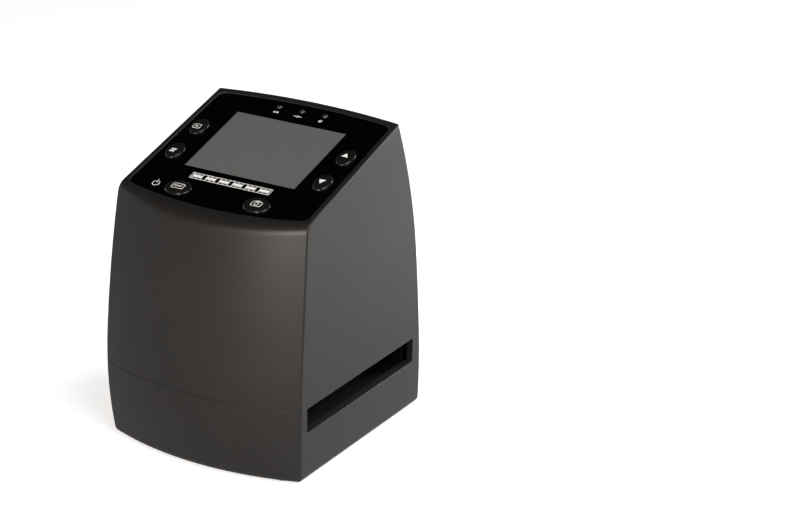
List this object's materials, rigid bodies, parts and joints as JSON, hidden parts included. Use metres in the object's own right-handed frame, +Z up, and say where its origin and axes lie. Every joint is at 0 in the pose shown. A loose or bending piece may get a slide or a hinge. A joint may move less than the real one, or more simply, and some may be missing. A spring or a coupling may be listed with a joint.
{
  "type": "film negative scanner",
  "caption": "Desktop film negative scanner: tapered black body, tilted top with a display and oval keys, and an open film slot through the base",
  "frame": {"origin": "on the table, under the middle of the body's box", "axes": "+Z up, the front with the rounded shoulder faces -Y, the film slot runs along X"},
  "size_m": [0.0882, 0.096, 0.1201],
  "materials": {
    "housing": "fine satin texture",
    "base": "fine satin texture",
    "faceplate": "polished",
    "screen": "satin",
    "key": "gloss",
    "light_pipe": "frosted",
    "display": "satin",
    "board": "satin",
    "steel": "satin",
    "zinc": "bright",
    "switch": "satin",
    "flex": "satin",
    "connector": "satin",
    "chip": "satin",
    "dark_inner": "matt",
    "white_inner": "matt",
    "diffuser": "opal",
    "lamp": "gloss",
    "rubber": "matt",
    "glass": "polished",
    "cable": "satin"
  },
  "bodies": {
    "body": {"av_socket": "dark_inner", "backlight_leds": "lamp", "base_housing": "base", "base_screws": "steel", "card_socket": "zinc", "chassis_plate": "dark_inner", "control_board": "board", "control_board_screws": "steel", "detent_cap": "dark_inner", "detent_spring": "steel", "diffuser": "diffuser", "display_flex": "flex", "faceplate": "faceplate", "film_track": "dark_inner", "flex_connectors": "connector", "image_sensor": "chip", "indicator_leds": "lamp", "lamp_lead": "cable", "lcd_module": "display", "lead_connectors": "connector", "led_board": "board", "led_board_screws": "steel", "lens_barrel": "dark_inner", "lens_glass": "glass", "light_box": "white_inner", "light_pipes": "light_pipe", "main_board": "board", "main_board_screws": "steel", "main_processor": "chip", "optics_tower": "dark_inner", "panel_flex": "flex", "rubber_feet": "rubber", "screen_window": "screen", "sensor_board": "board", "sensor_board_screws": "steel", "sensor_flex": "flex", "switch_bodies": "switch", "tower_screws": "steel", "track_screws": "steel", "upper_housing": "housing", "usb_socket": "zinc"},
    "key_play_body": {"key_play": "key", "switch_stem_play": "connector"},
    "key_copy_body": {"key_copy": "key", "switch_stem_copy": "connector"},
    "key_up_body": {"key_up": "key", "switch_stem_up": "connector"},
    "key_down_body": {"key_down": "key", "switch_stem_down": "connector"},
    "key_menu_body": {"key_menu": "key", "switch_stem_menu": "connector"},
    "key_capture_body": {"key_capture": "key", "switch_stem_capture": "connector"},
    "click_stop": {"detent_plunger": "connector"}
  },
  "joints": [
    {"name": "key_play_press", "type": "slide", "parent": "body", "child": "key_play_body", "axis": [0, 0.2857, -0.9583], "range_m": [0, 0.0006], "stiffness_N_per_m": 1500, "springref_m": -0.0002},
    {"name": "key_copy_press", "type": "slide", "parent": "body", "child": "key_copy_body", "axis": [0, 0.2857, -0.9583], "range_m": [0, 0.0006], "stiffness_N_per_m": 1500, "springref_m": -0.0002},
    {"name": "key_up_press", "type": "slide", "parent": "body", "child": "key_up_body", "axis": [0, 0.2857, -0.9583], "range_m": [0, 0.0006], "stiffness_N_per_m": 1500, "springref_m": -0.0002},
    {"name": "key_down_press", "type": "slide", "parent": "body", "child": "key_down_body", "axis": [0, 0.2857, -0.9583], "range_m": [0, 0.0006], "stiffness_N_per_m": 1500, "springref_m": -0.0002},
    {"name": "key_menu_press", "type": "slide", "parent": "body", "child": "key_menu_body", "axis": [0, 0.2857, -0.9583], "range_m": [0, 0.0006], "stiffness_N_per_m": 1500, "springref_m": -0.0002},
    {"name": "key_capture_press", "type": "slide", "parent": "body", "child": "key_capture_body", "axis": [0, 0.2857, -0.9583], "range_m": [0, 0.0006], "stiffness_N_per_m": 1500, "springref_m": -0.0002},
    {"name": "click_stop_rise", "type": "slide", "parent": "body", "child": "click_stop", "axis": [0, 0, 1], "range_m": [0, 0.0015], "stiffness_N_per_m": 300, "springref_m": -0.0005, "deforming": ["detent_spring"]}
  ]
}
